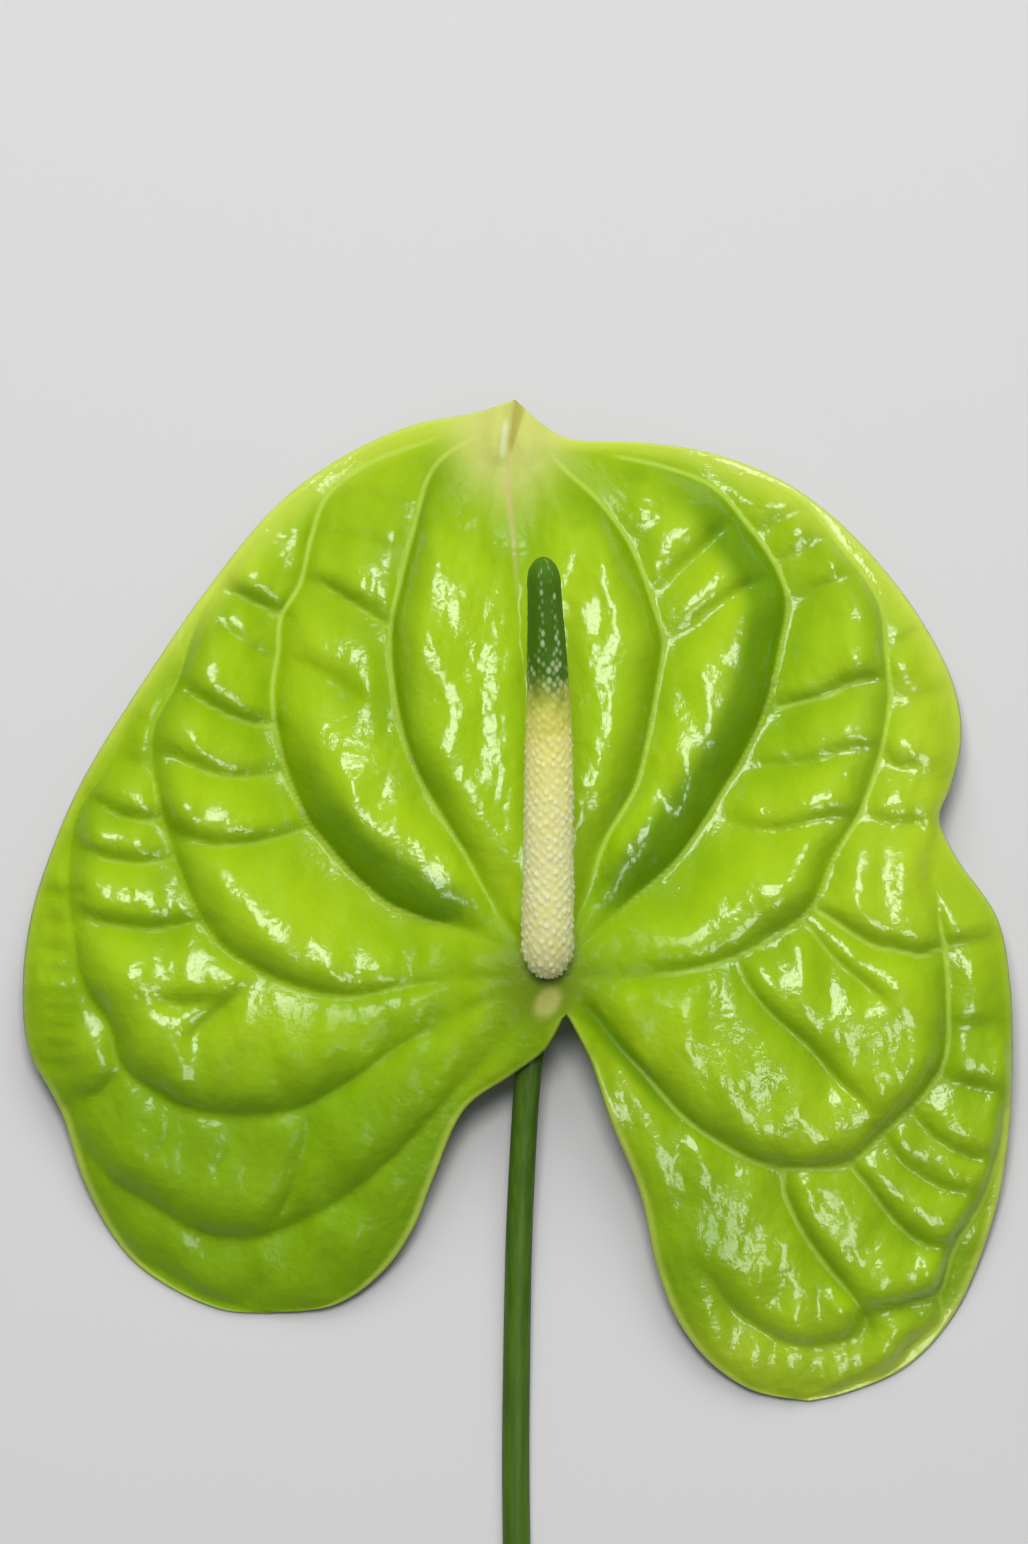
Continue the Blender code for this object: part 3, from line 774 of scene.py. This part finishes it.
def nearest_floret(angle, length):
    """Each point's distance from the nearest floret's centre, and that floret's height.

    Places are counted in half steps round and along. A floret sits wherever both counts are even or
    both are odd, moved by up to a third of a half step at random.
    """
    count_round = angle * FLORETS_ROUND / np.pi + TWIST * length
    count_along = length / HALF_ALONG + 0.0 * angle
    random = np.random.default_rng(7)
    draws = random.uniform((0.35, -0.33, -0.33), (1.0, 0.33, 0.33), (400, 60, 3))
    size, aside, ahead = draws.T.swapaxes(1, 2)
    nearest, height = np.full(count_round.shape, 9.0), np.zeros(count_round.shape)
    for odd in (0.0, 1.0):
        which_round = np.round(0.5 * (count_round - odd))
        which_along = np.round(0.5 * (count_along - odd))
        floret = ((2 * which_along + odd).astype(int),
                  (2 * which_round + odd).astype(int) % (2 * FLORETS_ROUND))
        off_round = (count_round - odd - 2.0 * which_round - aside[floret]) * HALF_ROUND
        off_along = (count_along - odd - 2.0 * which_along - ahead[floret]) * HALF_ALONG
        distance = np.hypot(off_round, off_along)
        height = np.where(distance < nearest, size[floret], height)
        nearest = np.minimum(nearest, distance)
    return nearest, height


# %% The spike
def add_spadix():
    """Radius is a taper plus a bell for each floret, times a quarter circle that rounds the top."""
    rows, columns = 340, 144
    line = smooth_line(SPADIX_LINE, rows, crowding=1.12)
    length = walked(line)[:, None]
    t = length / length[-1]
    angle = ring_angles(columns)
    foot = 0.62 + 0.38 * rise(0.0, 0.10, t)
    taper = 1.0 - 0.06 * rise(0.08, 0.40, t) - 0.20 * rise(0.40, 0.92, t)
    taper -= 0.08 * rise(0.75, 0.97, t)
    top = np.sqrt(np.clip(1.0 - (np.clip(t - 0.945, 0.0, None) / 0.0551) ** 2, 0.0, 1.0))
    nearest, height = nearest_floret(angle, length)
    bump = height * bell(nearest, 0.42)
    # The florets at the tip have not opened yet, and those at the foot stick out the most.
    ripe = 1.0 - 0.75 * rise(0.60, 0.72, t) + 0.9 * rise(0.14, 0.03, t)
    radius = (SPADIX_RADIUS * foot * taper - 0.28 + 0.32 * bump * ripe) * top
    # Pale flecks sit on the tip's buds all round its lower part, and in two stripes up its front they are
    # painted highlights.
    glint_stripes = bell(angle - math.radians(103), 0.24) + bell(angle - math.radians(58), 0.24)
    fleck_and_glint = height * bell(nearest, 0.7) * np.clip(glint_stripes + 0.9 * rise(0.84, 0.74, t), 0.0, 1.0)
    return rod("spadix_spike", carried(line, radius, angle), line[0],
               {"floret": bump, "along": np.repeat(t, columns, axis=1), "fleck_and_glint": fleck_and_glint})


spadix = add_spadix()

# %% [markdown]
# ## The stalk
# The peduncle is a plain fleshy stalk, very slightly ribbed, a little thicker towards the slanted
# cut. A boolean would leave a ragged mesh there. Pushing the last rings back onto the plane of the
# cut, and closing it with ever smaller ones, leaves even rows.

# %% Carry a ribbed ring along the stalk
STALK_LINE = ((0.2, 0.2, 15.9), (0.1, -0.2, 14.6), (-0.6, -2.8, 12.8), (-2.2, -9.5, 11.6),
              (-3.8, -32, 6.6), (-4.4, -56, 3.1), (-4.5, -80, 2.1), (-3.2, -125, 2.2),
              (0, -190, 2.3), (3.4, -270, 2.5), (5.2, -346, 2.6))
STALK_CROWDING = 1.3  # more rings in the bend under the spathe
STALK_RADIUS_TOP, STALK_RADIUS_CUT = 1.95, 2.6
STALK_REACH = 340.0
CUT_SLOPE = math.tan(math.radians(42))
RIBS, RIB_DEPTH = 9, 0.012  # the depth as a share of the radius


def add_stalk():
    """Radius grows evenly from the top to the cut, less a cosine of the angle for the ribs."""
    rows, columns, cap_rings = 260, 36, 8
    line = smooth_line(STALK_LINE, rows, crowding=STALK_CROWDING)
    t = np.linspace(0.0, 1.0, rows)[:, None] ** STALK_CROWDING
    radius = STALK_RADIUS_TOP + (STALK_RADIUS_CUT - STALK_RADIUS_TOP) * t
    line[:, 2] = np.maximum(line[:, 2], radius[:, 0])
    angle = ring_angles(columns)
    ribbed = radius * (1.0 - RIB_DEPTH * (0.5 + 0.5 * np.cos(RIBS * angle)))
    rings = carried(line, ribbed, angle)
    cut_y = -STALK_REACH - CUT_SLOPE ** -1 * rings[..., 2]
    rings[..., 1] = np.maximum(rings[..., 1], cut_y)
    centre = rings[-1].mean(axis=0)
    shares = 0.95 * np.linspace(1.0, 0.0, cap_rings)  # the first ring close in keeps the edge crisp
    cap = centre + shares[:, None, None] * (rings[-1] - centre)
    cut = np.concatenate([np.zeros(rows * columns), np.repeat(1.0 - shares, columns)])
    return rod("stalk", np.concatenate([rings, cap]), line[0], {"cut": cut})


stalk = add_stalk()

# %% [markdown]
# ## Colours and nodes
# Colours are hex values as a screen shows them, and one function turns them linear.
# Every finish here is one colour with tints laid over it where a value says, so that step is a
# function too. A pattern's scale comes from the size of its patches in millimetres.

# %% Helpers for the finishes
def linear(hex_colour):
    """An sRGB hex colour such as "88af14" as linear red, green, blue and 1."""
    srgb = np.array([int(hex_colour[i:i + 2], 16) for i in (0, 2, 4)]) / 255.0
    flat = np.where(srgb <= 0.04045, srgb / 12.92, ((srgb + 0.055) / 1.055) ** 2.4)
    return (*flat.tolist(), 1.0)


def patch_scale(millimetres):
    """The scale of a noise whose patches are this wide: the whole number of them in a metre."""
    return float(round(1.0 / (millimetres * MM)))


def feed(tree, node, inputs):
    """Sets each of a node's inputs to a value, or links it to a socket."""
    for name, value in inputs.items():
        if isinstance(value, bpy.types.NodeSocket):
            tree.links.new(value, node.inputs[name])
        else:
            node.inputs[name].default_value = value


def add_node(tree, kind, inputs=None, out=0, **settings):
    """Adds a node with its properties and inputs, and returns one of its outputs."""
    node = tree.nodes.new(kind)
    for name, value in settings.items():
        setattr(node, name, value)
    feed(tree, node, inputs or {})
    return node.outputs[out]


def tinted(tree, colour, value, low, high, most, tint):
    """The colour with a tint mixed in: none where the value is low, a share of most where it is high.

    The value is a socket or an attribute's name, and the tint is a hex value or a socket.
    """
    if isinstance(value, str):
        value = add_node(tree, "ShaderNodeAttribute", out="Fac", attribute_name=value)
    share = add_node(tree, "ShaderNodeMapRange", {0: value, 1: low, 2: high, 4: most},
                     interpolation_type="SMOOTHSTEP")
    tint = linear(tint) if isinstance(tint, str) else tint
    return add_node(tree, "ShaderNodeMix", {0: share, 6: colour, 7: tint}, out=2, data_type="RGBA")


def new_material(name):
    """An empty material; returns it, its node tree and its Principled shader."""
    made = bpy.data.materials.new(name)
    made.use_nodes = True
    return made, made.node_tree, made.node_tree.nodes["Principled BSDF"]


# %% [markdown]
# ## The spathe's finish
# A spathe is a living leaf that grew a coat of clear wax. The flesh lets light in a little way, and
# the wax gives sharp white lights that break up over the pillows. So it is a coat on the shader,
# thin on veins, left lobe, foot and tip, over flesh that hardly shines. Patches of 22 mm vary the
# green, and a bump of 1.4 mm, coarser than the real skin's so that it shows, frays the lights.

# %% Waxy bract
# For each tint: its attribute, the two values between which it comes in, its share, its colour.
# Of these tints, the left lobe's, the hollows' and the fold's are painted shade, the bright one is
# painted light, and the pale margin is widened by painted light on the right lobe.
TINTS = (("lobe", 0.0, 1.0, 0.75, "7aa604"), ("painted_light", 0.0, 1.0, 0.5, "b8d22c"),
         ("painted_shade", 0.1, 1.0, 0.9, "648f00"), ("base", 0.1, 0.9, 0.85, "728c02"),
         ("pale", 0.0, 1.0, 0.75, "c4d848"), ("vein", 0.4, 1.0, 0.6, "bed858"),
         ("rim", 0.0, 1.0, 0.8, "c6da58"), ("tip", 0.0, 1.0, 0.85, "cccf74"),
         ("midrib", 0.1, 1.0, 0.55, "c6b676"), ("painted_fold_shadow", 0.1, 0.9, 0.7, "a09c38"),
         ("flank", 0.1, 1.0, 0.7, "e2e8bc"), ("collar", 0.1, 0.7, 0.85, "bfc264"),
         ("back", 0.0, 1.0, 0.7, "a3bf52"))


def waxy_bract():
    """Leaf flesh under clear wax: pale at the margin and tan at the tip, with painted shade and painted
    light.
    """
    made, tree, shader = new_material("waxy_green_bract")
    place = add_node(tree, "ShaderNodeTexCoord", out="Object")
    broad, fine = (add_node(tree, "ShaderNodeTexNoise",
                            {"Vector": place, "Scale": patch_scale(width), "Detail": 3.0})
                   for width in (22.2, 1.429))
    bump = add_node(tree, "ShaderNodeBump", {"Height": fine, "Strength": 0.55, "Distance": 0.0003})
    # Painted light on the pillow tops, with painted shade where they sink to the veins.
    colour = tinted(tree, linear("86ae00"), "painted_top_light", 0.4, 3.0, 1.0, "9ec40c")
    colour = tinted(tree, colour, broad, 0.35, 0.7, 0.45, "b0cc18")
    for tint in TINTS:
        colour = tinted(tree, colour, *tint)
    matt = add_node(tree, "ShaderNodeAttribute", out="Fac", attribute_name="matt")
    roughness, wax = (add_node(tree, "ShaderNodeMapRange", {0: matt, 3: glossy, 4: dulled},
                               interpolation_type="SMOOTHSTEP")
                      for glossy, dulled in ((0.42, 0.60), (0.75, 0.05)))
    feed(tree, shader, {
        "Base Color": colour, "Roughness": roughness, "Specular IOR Level": 0.12, "Coat Weight": wax,
        "Coat Roughness": 0.13, "Normal": bump, "Coat Normal": bump, "Subsurface Weight": 0.15,
        "Subsurface Scale": 0.0012, "Subsurface Radius": (0.8, 1.0, 0.2)})
    return made


# %% [markdown]
# ## The spadix's finish
# The florets are soft, matt flesh that light goes deep into, so they glow and hardly shine. They
# ripen from the foot upward: cream, then yellow-green, and at the tip bottle-green buds with pale
# dots, with two stripes of painted highlights up the tip's front. Patches of 2.4 mm, the size of a
# floret, make the borders ragged.

# %% Floret spike
def floret_spike():
    """Translucent flesh: cream, yellow-green further up, and a bottle-green tip with pale flecks and
    painted highlights.
    """
    made, tree, shader = new_material("floret_spike")
    place = add_node(tree, "ShaderNodeTexCoord", out="Object")
    patches = add_node(tree, "ShaderNodeTexNoise", {"Vector": place, "Scale": patch_scale(2.38)})
    along = add_node(tree, "ShaderNodeAttribute", out="Fac", attribute_name="along")
    ragged = add_node(tree, "ShaderNodeMath", {0: patches, 1: 0.10, 2: along}, operation="MULTIPLY_ADD")
    green = tinted(tree, linear("4a7600"), "fleck_and_glint", 0.25, 0.85, 1.0, "b4c890")
    colour = linear("fff9b2")
    for value, low, high, most, tint in (
            ("floret", 0.1, 0.9, 1.0, "fffbcc"), (patches, 0.5, 0.7, 0.45, "fdec8a"),
            (along, 0.35, 0.62, 0.6, "f4ec7c"), (ragged, 0.62, 0.74, 1.0, "d2d65a"),
            (ragged, 0.70, 0.80, 1.0, green)):
        colour = tinted(tree, colour, value, low, high, most, tint)
    feed(tree, shader, {
        "Base Color": colour, "Roughness": 0.6, "Specular IOR Level": 0.2, "Subsurface Weight": 0.8,
        "Subsurface Scale": 0.0022, "Subsurface Radius": (1.0, 0.9, 0.5)})
    return made


# %% [markdown]
# ## The stalk's finish
# The stalk is firm green plant flesh with a thin, even skin of its own, so it is duller than the
# spathe. Fibres run along it, finer than would show, so a noise of 1.1 mm patches, stretched 17
# times along the stalk, streaks it. An attribute marks the cap, where the cut shows pale pith.

# %% Green stalk, and the finishes on their pieces
def green_stalk():
    """Dark green skin, streaked lengthways, and pale pith on the cut."""
    made, tree, shader = new_material("green_stalk")
    place = add_node(tree, "ShaderNodeTexCoord", out="Object")
    stretched = add_node(tree, "ShaderNodeMapping", {"Vector": place, "Scale": (1.0, 0.06, 1.0)})
    streaks = add_node(tree, "ShaderNodeTexNoise", {"Vector": stretched, "Scale": patch_scale(1.111)})
    colour = tinted(tree, linear("40610f"), streaks, 0.3, 0.7, 1.0, "507219")
    colour = tinted(tree, colour, "cut", 0.02, 0.15, 1.0, "b9c98a")
    feed(tree, shader, {"Base Color": colour, "Roughness": 0.5, "Specular IOR Level": 0.2})
    return made


for piece, made in ((spathe, waxy_bract()), (spadix, floret_spike()), (stalk, green_stalk())):
    piece.data.materials.append(made)
    print(f"{made.name}: {len(made.node_tree.nodes)} nodes on {piece.name}")

# %% [markdown]
# ## Tie the pieces to the frame
# Each finished piece stands for its plain solid in the frame, which is hidden, and rides on the one
# body. Its finish was put on it above.

# %% Replace and ride
for piece, node, slot in ((spathe, "spathe", "waxy_green_bract"), (spadix, "spadix", "floret_spike"),
                          (stalk, "peduncle", "green_stalk")):
    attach(piece, "root")
    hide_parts(node)
    print(f"{piece.name} stands for {node}")

# %% [markdown]
# ## The floor
# A plain pale sheet of matt paper, wide enough to fill every view.

# %% Floor
def add_floor():
    """One square at height 0, round the origin."""
    half = 3.0
    mesh = bpy.data.meshes.new("floor")
    mesh.from_pydata([(-half, -half, 0.0), (half, -half, 0.0), (half, half, 0.0), (-half, half, 0.0)],
                     [], [(0, 1, 2, 3)])
    made = new_object("floor", mesh)
    paper, tree, shader = new_material("pale_floor")
    feed(tree, shader, {"Base Color": linear("d8d7d8"), "Roughness": 0.9})
    mesh.materials.append(paper)
    print(f"floor: {2 * half:.0f} m wide")


add_floor()

# %% [markdown]
# ## The light
# Soft studio light from above the tip. One lamp can't give both an even green and small crisp
# lights on the wax, so the work is shared: two window-sized lamps only draw the white lights, and a
# near one and a large one only light the flower. A dim even sky fills the shadows.

# %% Lamps
LAMP_TARGET = (-5.0, 20.0, 10.0)


def add_lamp(name, place, size, watts, mirrored=True, lights=True):
    """A rectangular soft lamp at a place in millimetres about the attachment, facing the spathe.

    A lamp that isn't mirrored draws no highlight, and one that doesn't light only draws them.
    """
    data = bpy.data.lights.new(name, "AREA")
    data.shape = "RECTANGLE"
    data.size, data.size_y = size
    data.energy = watts
    lamp = new_object(name, data)
    lamp.location = to_world(place)
    way = Vector(to_world(LAMP_TARGET)) - lamp.location
    lamp.rotation_euler = way.to_track_quat("-Z", "Y").to_euler()
    lamp.visible_glossy = mirrored
    lamp.visible_diffuse = lights
    print(f"{name}: {watts} W, {way.length:.2f} m away")


add_lamp("window", (-20.0, 330.0, 1150.0), (0.46, 0.53), 9.3, lights=False)
add_lamp("low_window", (330.0, -480.0, 1000.0), (0.36, 0.42), 4.2, lights=False)
add_lamp("front_fill", (-40.0, 330.0, 1150.0), (0.30, 0.30), 7.6, mirrored=False)
add_lamp("overhead", (100.0, 1300.0, 1300.0), (1.2, 1.2), 18.0, mirrored=False)

# %% Sky
SKY_LIGHT, SKY_SEEN = 0.14, 0.67  # how bright the sky lights, and how bright it looks
world = bpy.data.worlds.new("soft_sky")
world.use_nodes = True
sky = world.node_tree
seen = add_node(sky, "ShaderNodeLightPath", out="Is Camera Ray")
strength = add_node(sky, "ShaderNodeMapRange", {0: seen, 3: SKY_LIGHT, 4: SKY_SEEN})
feed(sky, sky.nodes["Background"], {"Color": linear("f4f6f8"), "Strength": strength})
bpy.context.scene.world = world
bpy.context.scene.view_settings.view_transform = "Standard"
print("sky:", world.name)
